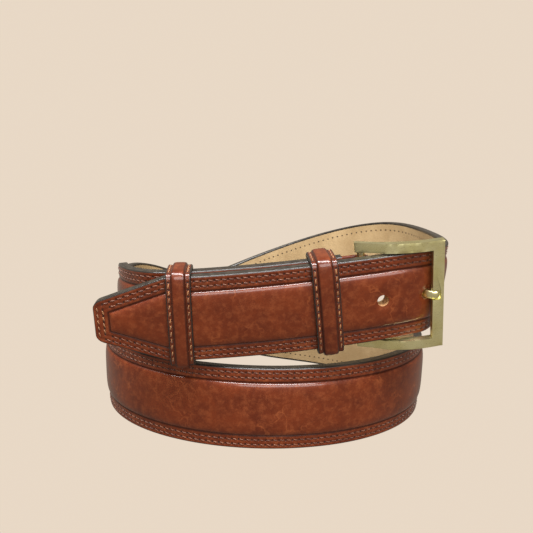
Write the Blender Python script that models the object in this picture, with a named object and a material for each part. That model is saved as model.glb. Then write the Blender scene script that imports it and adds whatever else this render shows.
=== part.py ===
"""Leather dress belt, coiled twice and buckled, standing on its lower edge."""
import math

import bmesh
import bpy
import numpy as np
from mathutils import Vector

MM = 0.001

# Strap
WIDTH = 35.0            # across the strap
LINING_T = 1.1          # layer thicknesses, from the inside of the coil outwards
CORE_T = 1.1
COVER_T = 1.2
LAYER_GAP = 0.25
CROWN = 1.3             # how far the padded middle stands proud of the sewn margin
MARGIN = 6.2            # flat sewn margin along each edge
HOLE_D = 4.6
HOLE_PITCH = 17.5
HOLE_COUNT = 5
USED_HOLE = 3           # holes counted from the bar, starting at 0
TIP_LENGTH = 28.0
TIP_END = 15.6
TIP_CORNER = 3.0
STRAND_PITCH = 5.95     # middle of one strand to the middle of the next where they lie together
STEP, TURN = 13.0, 15.0     # longest step along the strap, mm, and largest bend in a step, degrees

# Coil
LOWER_A, LOWER_B = 73.4, 51.7     # lower turn, half width and half depth
INNER_A, INNER_B = 66.8, 45.2     # upper turn where it runs inside the other strand
LOWER_Z = WIDTH / 2
FRONT_FROM, FRONT_TO = -65.6, 58.5    # the straight run of the free end along the front
LEAN = 6.5                        # degrees the upper front run tips forward at its top edge

# Buckle
BAR_X = 38.8
BAR_R = 1.6
FRAME_W, FRAME_IN = 44.0, 36.5
FRAME_REACH = 31.2      # bar axis to the far face of the end bar
END_BAR = 4.4
END_BAR_AT = (67.3, -46.9)
BUCKLE_RISE = 0.09      # climb of the buckle from bar to end bar
FRAME_T = 3.4
PRONG_W, PRONG_T = 3.2, 1.7

CHAPE_SEAMS = (29.8, 13.0)  # where the turned-back end is sewn down

# Keepers
FIXED_X, FREE_X = 23.4, -32.6
FIXED_W, FREE_W = 10.2, 9.4
KEEPER_T = 1.3
KEEPER_PAD = 0.8
KEEPER_CLEAR = 0.75

THREAD = 0.5
THREAD_LIFT = 0.25

# Colours, linear
COVER_COLOUR = (0.26, 0.075, 0.025)
LINING_COLOUR = (0.42, 0.30, 0.16)
CORE_COLOUR = (0.30, 0.17, 0.08)
PADDING_COLOUR = (0.55, 0.48, 0.36)
THREAD_COLOUR = (0.33, 0.12, 0.04)
KEEPER_THREAD_COLOUR = (0.55, 0.24, 0.06)
BRASS = (0.62, 0.52, 0.20)

HALF = WIDTH / 2
LINING_IN = -(LINING_T + LAYER_GAP + CORE_T / 2)
LINING_OUT = -(LAYER_GAP + CORE_T / 2)
COVER_IN = LAYER_GAP + CORE_T / 2
COVER_OUT = COVER_IN + COVER_T


def front_run(x):
    """Middle of the outer strand along the front of the coil."""
    u = x / 50.0
    y = -53.1 + 0.7 * u + 2.9 * u**3 if x > -30 else -54.15 + (x + 30.0) * 0.045
    z = 58.2 + 5.7 * u + 1.7 * u**2 - 0.9 * u**3 if x > -32 else 55.5 + (x + 32.0) * 0.03
    return np.array([x, y, z])


def front_frame(x):
    """Point, direction of travel, width direction and outward normal on the front run."""
    a, b = front_run(x + 0.5), front_run(x - 0.5)
    return front_run(x), *directions(b - a)


def directions(t, lean=LEAN):
    """Travel, width and outward directions; lean tips the width direction outward, in degrees."""
    t = t / np.linalg.norm(t)
    w = np.array([0.0, 0.0, 1.0]) - t[2] * t
    w /= np.linalg.norm(w)
    n = np.cross(w, t)
    r = math.radians(lean)
    return t, w * math.cos(r) + n * math.sin(r), n * math.cos(r) - w * math.sin(r)


def inner_run(x):
    """Middle of the buckle end, lying just inside the outer strand."""
    p, _, _, n = front_frame(x)
    return p - STRAND_PITCH * n


def oval(a, b, degrees, z):
    r = math.radians(degrees)
    return np.array([a * math.cos(r), b * math.sin(r), z])


def ease(f):
    f = min(max(f, 0.0), 1.0)
    return f * f * (3.0 - 2.0 * f)


def strap_knots():
    """The strap from the bar to the tip: inner strand, down the back, lower turn, up the back."""
    knots = [inner_run(x) for x in (31.4, 18.0, 2.0, -14.0, -28.0, -40.5)]
    knots += [np.array([-50.0, -42.4, 54.8]), np.array([-57.9, -31.2, 53.6]),
              np.array([-62.8, -17.5, 51.2]), np.array([-66.6, -3.0, 46.6])]
    for deg in range(166, 40, -20):
        drop = ease((186.0 - deg) / 116.0)
        knots.append(oval(INNER_A, INNER_B, deg, 47.5 + (LOWER_Z - 47.5) * drop))
    for deg in (27, 8):
        grow = 0.55 if deg == 27 else 1.0
        a = INNER_A + (LOWER_A - INNER_A) * grow
        b = INNER_B + (LOWER_B - INNER_B) * grow
        knots.append(oval(a, b, deg, LOWER_Z))
    knots += [oval(LOWER_A, LOWER_B, deg, LOWER_Z) for deg in range(-12, -200, -20)]
    high = 66.4
    for deg in range(148, 0, -20):
        rise = ease((162.0 - deg) / 140.0)
        knots.append(oval(LOWER_A, LOWER_B, deg, LOWER_Z + (high - LOWER_Z) * rise))
    knots += [np.array([73.2, -8.0, 66.8]), np.array([72.4, -23.0, 67.2]),
              np.array([69.9, -36.6, 67.0]), np.array([65.2, -43.9, 66.4])]
    knots += [front_run(x) for x in (FRONT_TO, 48, 38, 24, 10, -4, -18, -32, -46, FRONT_FROM)]
    return np.array(knots)


def spline(knots, steps=24):
    """Smooth curve through the knots (natural cubic over chord length), as a dense polyline."""
    u = np.concatenate([[0.0], np.cumsum(np.sqrt(np.linalg.norm(np.diff(knots, axis=0), axis=1)))])
    n = len(knots)
    h = np.diff(u)
    m = np.zeros((n, n))
    r = np.zeros((n, 3))
    m[0, 0] = m[-1, -1] = 1.0
    for i in range(1, n - 1):
        m[i, i - 1], m[i, i], m[i, i + 1] = h[i - 1], 2 * (h[i - 1] + h[i]), h[i]
        r[i] = 6 * ((knots[i + 1] - knots[i]) / h[i] - (knots[i] - knots[i - 1]) / h[i - 1])
    k = np.linalg.solve(m, r)
    out = []
    for i in range(n - 1):
        for j in range(steps):
            a = (j / steps) * h[i]
            b = h[i] - a
            out.append((k[i] * b**3 + k[i + 1] * a**3) / (6 * h[i])
                       + (knots[i] / h[i] - k[i] * h[i] / 6) * b
                       + (knots[i + 1] / h[i] - k[i + 1] * h[i] / 6) * a)
    out.append(knots[-1])
    return np.array(out)


class Path:
    """The strap's middle line as straight steps between stations, by distance from its start."""

    def __init__(self):
        points = spline(strap_knots())
        step = np.linalg.norm(np.diff(points, axis=0), axis=1)
        dist = np.concatenate([[0.0], np.cumsum(step)])
        self.length = float(dist[-1])

        def at(s):
            return np.array([np.interp(s, dist, points[:, i]) for i in range(3)])

        def travel(s):
            return at(min(s + 1.0, self.length)) - at(max(s - 1.0, 0.0))

        s = np.linspace(0.0, self.length, 2400)
        t = np.array([travel(v) / np.linalg.norm(travel(v)) for v in s])
        bend = np.degrees(np.arccos(np.clip((t[1:] * t[:-1]).sum(1), -1, 1)))
        cost = np.concatenate([[0.0], np.cumsum(np.diff(s) / STEP + bend / TURN)])
        tip = [self.length - v for v in (TIP_LENGTH, TIP_CORNER, TIP_CORNER * 0.45, 0.4)]
        count = int(math.ceil(cost[-1]))
        even = np.interp(np.linspace(0, cost[-1], count + 1), cost, s)
        even = [v for v in even if min(abs(v - u) for u in tip) > 1.5]
        self.s = np.array(sorted([*even, *tip]))
        self.frames = np.array([[at(v), *directions(travel(v), self.lean(v))] for v in self.s])

    def lean(self, s):
        """Full lean along both front runs, none on the lower turn."""
        past = s - 75.0 if s < self.length / 2 else self.length - 130.0 - s
        return LEAN * (1.0 - ease(past / 60.0))

    def at(self, s):
        """Point, travel, width and outward directions at distance s."""
        i = int(np.clip(np.searchsorted(self.s, s) - 1, 0, len(self.s) - 2))
        f = np.clip((s - self.s[i]) / (self.s[i + 1] - self.s[i]), 0.0, 1.0)
        return self.frames[i] * (1 - f) + self.frames[i + 1] * f

    def nearest(self, point, after=0.0):
        """Distance along the strap of the place nearest to a point."""
        s = np.linspace(after, self.length, 2000)
        return float(s[np.argmin([np.linalg.norm(self.at(v)[0] - point) for v in s])])

    def stations(self, start, end):
        """The stations from start to end, with those two distances at the ends."""
        inside = [v for v in self.s if start + 1.0 < v < end - 1.0]
        return [start, *inside, end]


PATH = Path()
LENGTH = PATH.length
HOLE_S = PATH.nearest(np.array([61.3, -46.4, 66.0]), LENGTH / 2)


def half_width(s):
    """Half the strap's width, narrowing in straight lines to a blunt tip with round corners."""
    left = LENGTH - s
    if left >= TIP_LENGTH:
        return HALF
    half = TIP_END / 2 + (HALF - TIP_END / 2) * left / TIP_LENGTH
    if left < TIP_CORNER:
        half -= TIP_CORNER - math.sqrt(max(TIP_CORNER**2 - (TIP_CORNER - left)**2, 0.0))
    return half


# Puts the origin on the floor under the middle of the whole belt.
SHIFT = np.array([-0.12, 3.50, 0.05])


# ---------------------------------------------------------------- meshes


def material(name, colour, rough, metal=0.0):
    m = bpy.data.materials.new(name)
    m.use_nodes = True
    b = m.node_tree.nodes["Principled BSDF"]
    b.inputs["Base Color"].default_value = (*colour, 1.0)
    b.inputs["Roughness"].default_value = rough
    b.inputs["Metallic"].default_value = metal
    return m


def node(name, verts, faces, colour, rough=0.5, metal=0.0, origin=None):
    verts = (np.asarray(verts, float) + SHIFT) * MM
    at = np.zeros(3) if origin is None else (np.asarray(origin, float) + SHIFT) * MM
    mesh = bpy.data.meshes.new(name)
    mesh.from_pydata([tuple(v) for v in verts - at], [], faces)
    bm = bmesh.new()
    bm.from_mesh(mesh)
    bmesh.ops.recalc_face_normals(bm, faces=bm.faces)
    bm.to_mesh(mesh)
    bm.free()
    mesh.shade_smooth()
    mesh.set_sharp_from_angle(angle=math.radians(35))
    obj = bpy.data.objects.new(name, mesh)
    obj.location = Vector(at)
    mesh.materials.append(material(name, colour, rough, metal))
    bpy.context.scene.collection.objects.link(obj)
    return obj


def loft(rings, closed=False, across=None):
    """Triangles between equal rings of points, capped at the ends unless the rings close up.

    Each diagonal leans the same way across the strip on both of its sides, so that layers
    lying face to face keep an even gap where the strip twists.
    """
    count, size = len(rings), len(rings[0])
    verts = [p for ring in rings for p in ring]
    faces = []
    for i in range(count if closed else count - 1):
        for j in range(size):
            k, m = (i + 1) % count, (j + 1) % size
            a, b, c, d = i * size + j, i * size + m, k * size + m, k * size + j
            if across is not None and across[m] < across[j]:
                faces += [(a, b, d), (b, c, d)]
            else:
                faces += [(a, b, c), (a, c, d)]
    if not closed:
        faces.append(tuple(range(size))[::-1])
        faces.append(tuple((count - 1) * size + j for j in range(size)))
    return verts, faces


def join(parts):
    verts, faces = [], []
    for v, f in parts:
        base = len(verts)
        verts += list(v)
        faces += [tuple(base + i for i in face) for face in f]
    return verts, faces


def swept(start, end, section):
    """A strip along the strap; section(s) gives its (across, outward) corners at s."""
    rings = []
    for s in PATH.stations(start, end):
        p, _, w, n = PATH.at(s)
        rings.append([p + a * w + v * n for a, v in section(s)])
    return loft(rings, across=[a for a, _ in section(start)])


def plate(columns, cells):
    """Closed slab from grid columns: columns[i][j] is (inner, outer); cells says what is solid."""
    verts, faces, index = [], [], {}

    def vert(i, j, side):
        if (i, j, side) not in index:
            index[i, j, side] = len(verts)
            verts.append(columns[i][j][side])
        return index[i, j, side]

    for i, j in sorted(cells):
        ring = [(i, j), (i + 1, j), (i + 1, j + 1), (i, j + 1)]
        faces.append([vert(*c, 1) for c in ring])
        faces.append([vert(*c, 0) for c in reversed(ring)])
        beside = [(i, j - 1), (i + 1, j), (i, j + 1), (i - 1, j)]
        for k, other in enumerate(beside):
            if other not in cells:
                a, b = ring[k], ring[(k + 1) % 4]
                faces.append([vert(*a, 0), vert(*b, 0), vert(*b, 1), vert(*a, 1)])
    return verts, faces


# ---------------------------------------------------------------- strap


def crown_at(a, half):
    """Height of the padded middle at a distance across the strap."""
    room = half - MARGIN
    if room <= 1.0 or abs(a) >= room:
        return 0.0
    return CROWN * min(1.0, room / (HALF - MARGIN)) * (1.0 - (a / room) ** 4) ** 0.5


def lining_section(s):
    h = half_width(s)
    return [(-h, LINING_IN), (h, LINING_IN), (h, LINING_OUT), (-h, LINING_OUT)]


def core_section(s):
    h = half_width(s)
    room = crown_steps(h)[-1]
    v = CORE_T / 2
    return [(-h, -v), (h, -v), (h, v), (room, v), (-room, v), (-h, v)]


def crown_steps(half):
    room = max(half - MARGIN, half * 0.3)
    return [room * f for f in (-1.0, -0.8, 0.8, 1.0)]


def cover_section(s):
    h = half_width(s)
    over = [(a, COVER_OUT + crown_at(a, h)) for a in crown_steps(h)]
    under = [(a, COVER_IN + crown_at(a, h)) for a in reversed(crown_steps(h))]
    return [(-h, COVER_OUT), *over, (h, COVER_OUT), (h, COVER_IN), *under, (-h, COVER_IN)]


def padding_section(s):
    h = half_width(s)
    edge, top = 0.93 * (h - MARGIN), 0.76 * (h - MARGIN)
    low, high = COVER_IN - LAYER_GAP + 0.2, COVER_IN + crown_at(top, h) - 0.25
    return [(-edge, low), (edge, low), (top, high), (-top, high)]


def build_strap():
    last = LENGTH - 0.4
    node("strap_lining", *swept(0.0, last, lining_section), LINING_COLOUR, 0.7)
    node("strap_core", *swept(0.0, last, core_section), CORE_COLOUR, 0.8)
    node("strap_padding", *swept(6.0, LENGTH - 26.0, padding_section), PADDING_COLOUR, 0.9)
    node("strap_cover", *swept(0.0, last, cover_section), COVER_COLOUR, 0.3)
    for end, sign in (("upper", 1), ("lower", -1)):
        for row, inset in (("outer", 1.9), ("inner", 4.4)):
            def section(s, inset=inset, sign=sign):
                a = sign * (half_width(s) - inset)
                v = COVER_OUT + THREAD_LIFT
                return [(a - THREAD / 2, v), (a + THREAD / 2, v), (a, v + THREAD)]
            stop = LENGTH - (3.0 if row == "outer" else 6.0)
            node(f"edge_thread_{end}_{row}", *swept(2.5, stop, section), THREAD_COLOUR, 0.7)
    p, t, w, n = PATH.at(LENGTH - 2.2)
    reach = half_width(LENGTH - 3.0) - 2.6
    ring = [[p + a * w + (COVER_OUT + THREAD_LIFT + v) * n + e * t for e, v in
             ((-THREAD / 2, 0.0), (THREAD / 2, 0.0), (0.0, THREAD))] for a in (-reach, reach)]
    node("tip_thread", *loft(ring), THREAD_COLOUR, 0.7)


def cut_holes():
    """Punch the prong holes through every layer of the strap."""
    parts = []
    for i in range(HOLE_COUNT):
        p, t, w, n = PATH.at(HOLE_S + (i - USED_HOLE) * HOLE_PITCH)
        rings = []
        for v in (-6.0, 8.0):
            rings.append([p + v * n + HOLE_D / 2 * (math.cos(q) * t + math.sin(q) * w)
                          for q in np.linspace(0, 2 * math.pi, 12, endpoint=False)])
        parts.append(loft(rings))
    cutter = node("hole_cutter", *join(parts), (0.5, 0.5, 0.5))
    cutter.hide_render = True
    cutter.display_type = "WIRE"
    for name in ("strap_lining", "strap_core", "strap_padding", "strap_cover"):
        cut = bpy.data.objects[name].modifiers.new("holes", "BOOLEAN")
        cut.operation, cut.solver, cut.object = "DIFFERENCE", "EXACT", cutter


# ---------------------------------------------------------------- buckle


class BuckleFrame:
    """Local directions of the buckle: along (bar to end bar), across, and outward."""

    def __init__(self):
        self.bar = inner_run(BAR_X)
        along = np.array([*END_BAR_AT, 0.0]) - self.bar
        along[2] = BUCKLE_RISE * np.linalg.norm(along[:2])
        travel, self.across, self.out = directions(-along)
        self.along = -travel

    def point(self, d, a, v):
        return self.bar + d * self.along + a * self.across + v * self.out


BUCKLE = BuckleFrame()


def frame_height(d):
    """Middle of the buckle frame's side profile above the bar-to-end line."""
    if d < 8.5:
        return 0.2 + 3.9 * (d + 2.4) / 10.9
    f = (d - 8.5) / (FRAME_REACH - 8.5)
    return 4.1 + 1.5 * math.sin(math.pi * min(f * 1.05, 1.0)) - 1.4 * f


def build_buckle():
    inner = FRAME_REACH - END_BAR
    along = [-2.4, 1.5, 5.0, 8.5, 13.0, 18.0, 23.0, inner, FRAME_REACH - 0.8, FRAME_REACH]
    across = [-FRAME_W / 2, -FRAME_IN / 2, FRAME_IN / 2, FRAME_W / 2]
    columns = []
    for d in along:
        thick = FRAME_T * (0.8 if d < 8.5 else 1.0) - (0.9 if d == along[-1] else 0.0)
        v = frame_height(d)
        columns.append([(BUCKLE.point(d, a, v - thick / 2), BUCKLE.point(d, a, v + thick / 2))
                        for a in across])
    cells = {(i, j) for i in range(len(along) - 1) for j in range(3)
             if j != 1 or along[i] >= inner}
    frame = node("buckle_frame", *plate(columns, cells), BRASS, 0.35, 1.0, BUCKLE.bar)
    top = frame_height(FRAME_REACH) + FRAME_T / 2
    rings = [[BUCKLE.point(d, a, v) for a, v in
              ((-2.0, top - 1.3), (2.0, top - 1.3), (2.0, top + 3), (-2.0, top + 3))]
             for d in (inner - 1.0, FRAME_REACH - 1.1)]
    notch = node("notch_cutter", *loft(rings), BRASS)
    notch.hide_render = True
    notch.display_type = "WIRE"
    cut = frame.modifiers.new("notch", "BOOLEAN")
    cut.operation, cut.solver, cut.object = "DIFFERENCE", "EXACT", notch

    half = FRAME_IN / 2 - 0.2
    rings = [[BUCKLE.point(BAR_R * math.cos(q), a, BAR_R * math.sin(q))
              for q in np.linspace(0, 2 * math.pi, 12, endpoint=False)] for a in (-half, half)]
    node("buckle_bar", *loft(rings), BRASS, 0.35, 1.0, BUCKLE.bar)

    loop = BAR_R + 0.25 + PRONG_T / 2
    line = [(loop * math.cos(math.radians(q)), loop * math.sin(math.radians(q)))
            for q in range(20, 300, 30)]
    line += [(1.6, -loop + 0.05), (5.0, -2.4), (11.0, -2.3), (16.0, -2.6), (19.2, -3.3)]
    line += [(21.3, -3.6), (22.4, -2.6), (23.3, -0.7), (24.2, 1.0), (25.0, 2.6)]
    line += [(26.2, 3.8), (27.5, 4.25), (29.4, 4.2)]
    line = np.array(line)
    rings = []
    for i, (d, v) in enumerate(line):
        a = line[max(i - 1, 0)]
        b = line[min(i + 1, len(line) - 1)]
        t = (b - a) / np.linalg.norm(b - a)
        m = np.array([-t[1], t[0]])
        thick = PRONG_T * (0.6 if i == len(line) - 1 else 1.0) / 2
        wide = PRONG_W * (0.7 if i == len(line) - 1 else 1.0) / 2
        q = [(-wide, -thick), (wide, -thick), (wide, thick * 0.6), (wide * 0.6, thick),
             (-wide * 0.6, thick), (-wide, thick * 0.6)]
        rings.append([BUCKLE.point(d + m[0] * e, c, v + m[1] * e) for c, e in q])
    node("prong", *loft(rings), BRASS, 0.35, 1.0, BUCKLE.bar)


def build_chape():
    """The strap's turned-back buckle end, looped round the bar and sewn down behind."""
    thick, wide = 1.4, 32.0
    turn = BAR_R + 0.25 + thick / 2
    line = []
    for d in (-5.4, -3.0):
        line.append((BUCKLE.point(d, 0, turn), BUCKLE.out, BUCKLE.across))
    for q in range(90, -91, -30):
        r = math.radians(q)
        out = math.cos(r) * BUCKLE.along + math.sin(r) * BUCKLE.out
        line.append((BUCKLE.bar + turn * out, out, BUCKLE.across))
    for x in (32.5, CHAPE_SEAMS[0], FIXED_X, CHAPE_SEAMS[1], 6.0, -1.0):
        p = inner_run(x)
        _, _, w, n = front_frame(x)
        line.append((p + (LINING_IN - 0.35 - thick / 2) * n, -n, w))
    across = [-wide / 2, -2.8, 2.8, wide / 2]
    columns = []
    for p, out, w in line:
        columns.append([(p + a * w - thick / 2 * out, p + a * w + thick / 2 * out)
                        for a in across])
    cells = {(i, j) for i in range(len(line) - 1) for j in range(3) if j != 1 or not 0 <= i <= 8}
    node("buckle_chape", *plate(columns, cells), COVER_COLOUR, 0.45)
    for place, x in zip(("bar", "middle"), CHAPE_SEAMS):
        p = inner_run(x)
        _, t, w, n = front_frame(x)
        v = LINING_IN - 0.35 - thick - THREAD_LIFT
        rings = [[p + a * w + e * t + (v - u) * n for e, u in
                  ((-THREAD / 2, 0), (THREAD / 2, 0), (0, THREAD))] for a in (-14.5, 14.5)]
        node(f"chape_thread_{place}", *loft(rings), THREAD_COLOUR, 0.7)


# ---------------------------------------------------------------- keepers


def keeper_line(inside, clear=KEEPER_CLEAR, corner=1.5):
    """Inner line of a keeper as (across, outward) points, following the crown in front."""
    h = HALF + clear
    front, back = COVER_OUT + THREAD_LIFT + THREAD + 0.3, inside - 0.8
    crest = COVER_OUT + CROWN + 0.4
    line = [(-h * 0.30, crest + 0.2), (h * 0.30, crest + 0.2), (h * 0.62, crest)]
    line += [(h - corner, front), (h - corner * 0.3, front - corner * 0.3), (h, front - corner)]
    line += [(h, back + corner), (h - corner * 0.3, back + corner * 0.3), (h - corner, back)]
    line += [(0.0, back)]
    mirror = [(-a, v) for a, v in reversed(line[1:-1])]
    return line[1:] + mirror[:-1] + [(-line[2][0], line[2][1]), line[0]][1:]


def keeper(name, x, wide, inside):
    p, t, w, n = front_frame(x)
    line = np.array(keeper_line(inside))
    count = len(line)
    middle = line.mean(axis=0)
    body = [(-wide / 2, 0.0), (wide / 2, 0.0), (wide / 2, KEEPER_T), (wide * 0.30, KEEPER_T + 0.1),
            (wide * 0.18, KEEPER_T + KEEPER_PAD), (-wide * 0.18, KEEPER_T + KEEPER_PAD),
            (-wide * 0.30, KEEPER_T + 0.1), (-wide / 2, KEEPER_T)]
    rows = []
    for sign in (-1, 1):
        c = sign * (wide / 2 - 1.1)
        e = KEEPER_T + THREAD_LIFT
        rows.append([(c - THREAD / 2, e), (c + THREAD / 2, e), (c, e + THREAD)])
    built = []
    for section in [body, *rows]:
        rings = []
        for i in range(count):
            d = line[(i + 1) % count] - line[i - 1]
            m = np.array([d[1], -d[0]]) / np.linalg.norm(d)
            if np.dot(m, line[i] - middle) < 0:
                m = -m
            rings.append([p + c * t + (line[i][0] + m[0] * e) * w + (line[i][1] + m[1] * e) * n
                          for c, e in section])
        built.append(loft(rings, closed=True))
    origin = p if name.startswith("free") else None
    node(name, *built[0], COVER_COLOUR, 0.3, 0.0, origin)
    for side, thread in (("left", built[1]), ("right", built[2])):
        node(f"{name}_thread_{side}", *thread, KEEPER_THREAD_COLOUR, 0.7, 0.0, origin)
    return p, t, w, n, line


def build_keepers():
    keeper("fixed_keeper", FIXED_X, FIXED_W, LINING_IN - STRAND_PITCH - 0.35 - 1.6)
    inside = LINING_IN - STRAND_PITCH
    p, t, w, n, line = keeper("free_keeper", FREE_X, FREE_W, inside)
    v = line[:, 1].min() - KEEPER_T - KEEPER_PAD - 0.25
    corners = ((-0.35, 0), (0.35, 0), (0.35, 0.7), (-0.35, 0.7))
    rings = [[p + e * t + a * w + (v - u) * n for e, u in corners] for a in (-4.0, 4.0)]
    node("free_keeper_staple", *loft(rings), BRASS, 0.35, 1.0, p)


for old in list(bpy.data.objects):
    bpy.data.objects.remove(old, do_unlink=True)

build_strap()
cut_holes()
build_buckle()
build_chape()
build_keepers()
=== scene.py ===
"""Looks of the coiled leather belt: calf skin, stitches, keepers and brass, built round the CAD."""

import math

import bmesh
import bpy
import numpy as np
from mathutils import Matrix, Vector


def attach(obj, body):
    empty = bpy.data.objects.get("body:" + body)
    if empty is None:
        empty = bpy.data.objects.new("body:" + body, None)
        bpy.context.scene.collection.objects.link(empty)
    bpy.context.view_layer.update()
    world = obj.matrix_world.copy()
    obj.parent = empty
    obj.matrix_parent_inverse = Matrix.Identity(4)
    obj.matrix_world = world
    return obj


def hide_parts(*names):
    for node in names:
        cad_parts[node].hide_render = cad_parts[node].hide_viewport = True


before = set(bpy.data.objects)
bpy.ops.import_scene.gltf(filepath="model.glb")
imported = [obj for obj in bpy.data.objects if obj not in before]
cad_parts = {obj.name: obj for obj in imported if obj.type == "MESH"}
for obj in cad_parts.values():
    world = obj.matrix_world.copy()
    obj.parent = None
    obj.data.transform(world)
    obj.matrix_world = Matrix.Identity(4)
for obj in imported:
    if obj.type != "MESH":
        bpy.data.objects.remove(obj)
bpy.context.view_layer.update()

MM = 0.001

# Strap, in mm, the same as the CAD
WIDTH = 35.0
HALF = WIDTH / 2
CORE_IN, COVER_IN = -0.8, 0.55      # where the core meets the lining and the cover
LINING_IN, COVER_OUT = -1.9, 2.0
CROWN = 1.3
MARGIN = 6.2
HOLE_D = 4.6
HOLE_PITCH = 17.5
HOLE_COUNT = 5
USED_HOLE = 3
TIP_LENGTH = 28.0
TIP_END = 15.6
TIP_CORNER = 3.0
STRAND_PITCH = 5.95
STEP = 1.5              # along the strap between rings of the mesh
FINE_STEP = 0.5         # the same beside a hole

# Coil
LOWER_A, LOWER_B = 73.4, 51.7
INNER_A, INNER_B = 66.8, 45.2
LOWER_Z = WIDTH / 2
FRONT_FROM, FRONT_TO = -65.6, 58.5
LEAN = 6.5

# Buckle
BAR_X = 38.8
BAR_R = 1.6
FRAME_W, FRAME_IN = 44.0, 36.5
FRAME_REACH = 31.2
END_BAR = 4.4
END_BAR_AT = (67.3, -46.9)
BUCKLE_RISE = 0.09
FRAME_T = 3.4
PRONG_W, PRONG_T = 3.2, 1.7
CHAPE_T, CHAPE_W = 1.4, 32.0
CHAPE_SEAMS = (29.8, 13.0)

# Keepers
FIXED_X, FREE_X = 23.4, -32.6
FIXED_W, FREE_W = 10.2, 9.4
KEEPER_T = 1.3
KEEPER_PAD = 0.9
KEEPER_CLEAR = 0.75

# Stitches
STITCH_PITCH = 2.7
STITCH_LENGTH = 1.95
STITCH_R = 0.23
ROWS = {"outer": 1.9, "inner": 4.0}     # each row's distance from the strap's edge
KEEPER_ROW = 1.15                       # a keeper's row, from the keeper's edge

# The CAD stands on the ground with its origin under the middle of the whole belt.
SHIFT = np.array([-0.12, 3.50, 0.05])

# Camera
CAMERA_AT = np.array([-1.32, -257.5, 122.05])
CAMERA_PITCH, CAMERA_HEADING, CAMERA_ROLL = 12.4, 0.3, 1.1
FOCAL_PER_WIDTH = 560.0 / 533.0

RANDOM = np.random.default_rng(11)


# ------------------------------------------------------------ the strap's path


def front_run(x):
    """Middle of the outer strand along the front of the coil."""
    u = x / 50.0
    y = -53.1 + 0.7 * u + 2.9 * u**3 if x > -30 else -54.15 + (x + 30.0) * 0.045
    z = 58.2 + 5.7 * u + 1.7 * u**2 - 0.9 * u**3 if x > -32 else 55.5 + (x + 32.0) * 0.03
    return np.array([x, y, z])


def front_frame(x):
    a, b = front_run(x + 0.5), front_run(x - 0.5)
    return front_run(x), *directions(b - a)


def directions(t, lean=LEAN):
    """Travel, width and outward directions; lean tips the width direction outward, in degrees."""
    t = t / np.linalg.norm(t)
    w = np.array([0.0, 0.0, 1.0]) - t[2] * t
    w /= np.linalg.norm(w)
    n = np.cross(w, t)
    r = math.radians(lean)
    return t, w * math.cos(r) + n * math.sin(r), n * math.cos(r) - w * math.sin(r)


def inner_run(x):
    p, _, _, n = front_frame(x)
    return p - STRAND_PITCH * n


def oval(a, b, degrees, z):
    r = math.radians(degrees)
    return np.array([a * math.cos(r), b * math.sin(r), z])


def ease(f):
    f = min(max(f, 0.0), 1.0)
    return f * f * (3.0 - 2.0 * f)


def strap_knots():
    """The strap from the bar to the tip: inner strand, down the back, lower turn, up the back."""
    knots = [inner_run(x) for x in (31.4, 18.0, 2.0, -14.0, -28.0, -40.5)]
    knots += [np.array([-50.0, -42.4, 54.8]), np.array([-57.9, -31.2, 53.6]),
              np.array([-62.8, -17.5, 51.2]), np.array([-66.6, -3.0, 46.6])]
    for deg in range(166, 40, -20):
        drop = ease((186.0 - deg) / 116.0)
        knots.append(oval(INNER_A, INNER_B, deg, 47.5 + (LOWER_Z - 47.5) * drop))
    for deg in (27, 8):
        grow = 0.55 if deg == 27 else 1.0
        a = INNER_A + (LOWER_A - INNER_A) * grow
        b = INNER_B + (LOWER_B - INNER_B) * grow
        knots.append(oval(a, b, deg, LOWER_Z))
    knots += [oval(LOWER_A, LOWER_B, deg, LOWER_Z) for deg in range(-12, -200, -20)]
    high = 66.4
    for deg in range(148, 0, -20):
        rise = ease((162.0 - deg) / 140.0)
        knots.append(oval(LOWER_A, LOWER_B, deg, LOWER_Z + (high - LOWER_Z) * rise))
    knots += [np.array([73.2, -8.0, 66.8]), np.array([72.4, -23.0, 67.2]),
              np.array([69.9, -36.6, 67.0]), np.array([65.2, -43.9, 66.4])]
    knots += [front_run(x) for x in (FRONT_TO, 48, 38, 24, 10, -4, -18, -32, -46, FRONT_FROM)]
    return np.array(knots)


def spline(knots, steps=24):
    """Smooth curve through the knots (natural cubic over chord length), as a dense polyline."""
    u = np.concatenate([[0.0], np.cumsum(np.sqrt(np.linalg.norm(np.diff(knots, axis=0), axis=1)))])
    n = len(knots)
    h = np.diff(u)
    m = np.zeros((n, n))
    r = np.zeros((n, knots.shape[1]))
    m[0, 0] = m[-1, -1] = 1.0
    for i in range(1, n - 1):
        m[i, i - 1], m[i, i], m[i, i + 1] = h[i - 1], 2 * (h[i - 1] + h[i]), h[i]
        r[i] = 6 * ((knots[i + 1] - knots[i]) / h[i] - (knots[i] - knots[i - 1]) / h[i - 1])
    k = np.linalg.solve(m, r)
    out = []
    for i in range(n - 1):
        for j in range(steps):
            a = (j / steps) * h[i]
            b = h[i] - a
            out.append((k[i] * b**3 + k[i + 1] * a**3) / (6 * h[i])
                       + (knots[i] / h[i] - k[i] * h[i] / 6) * b
                       + (knots[i + 1] / h[i] - k[i + 1] * h[i] / 6) * a)
    out.append(knots[-1])
    return np.array(out)


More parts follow.
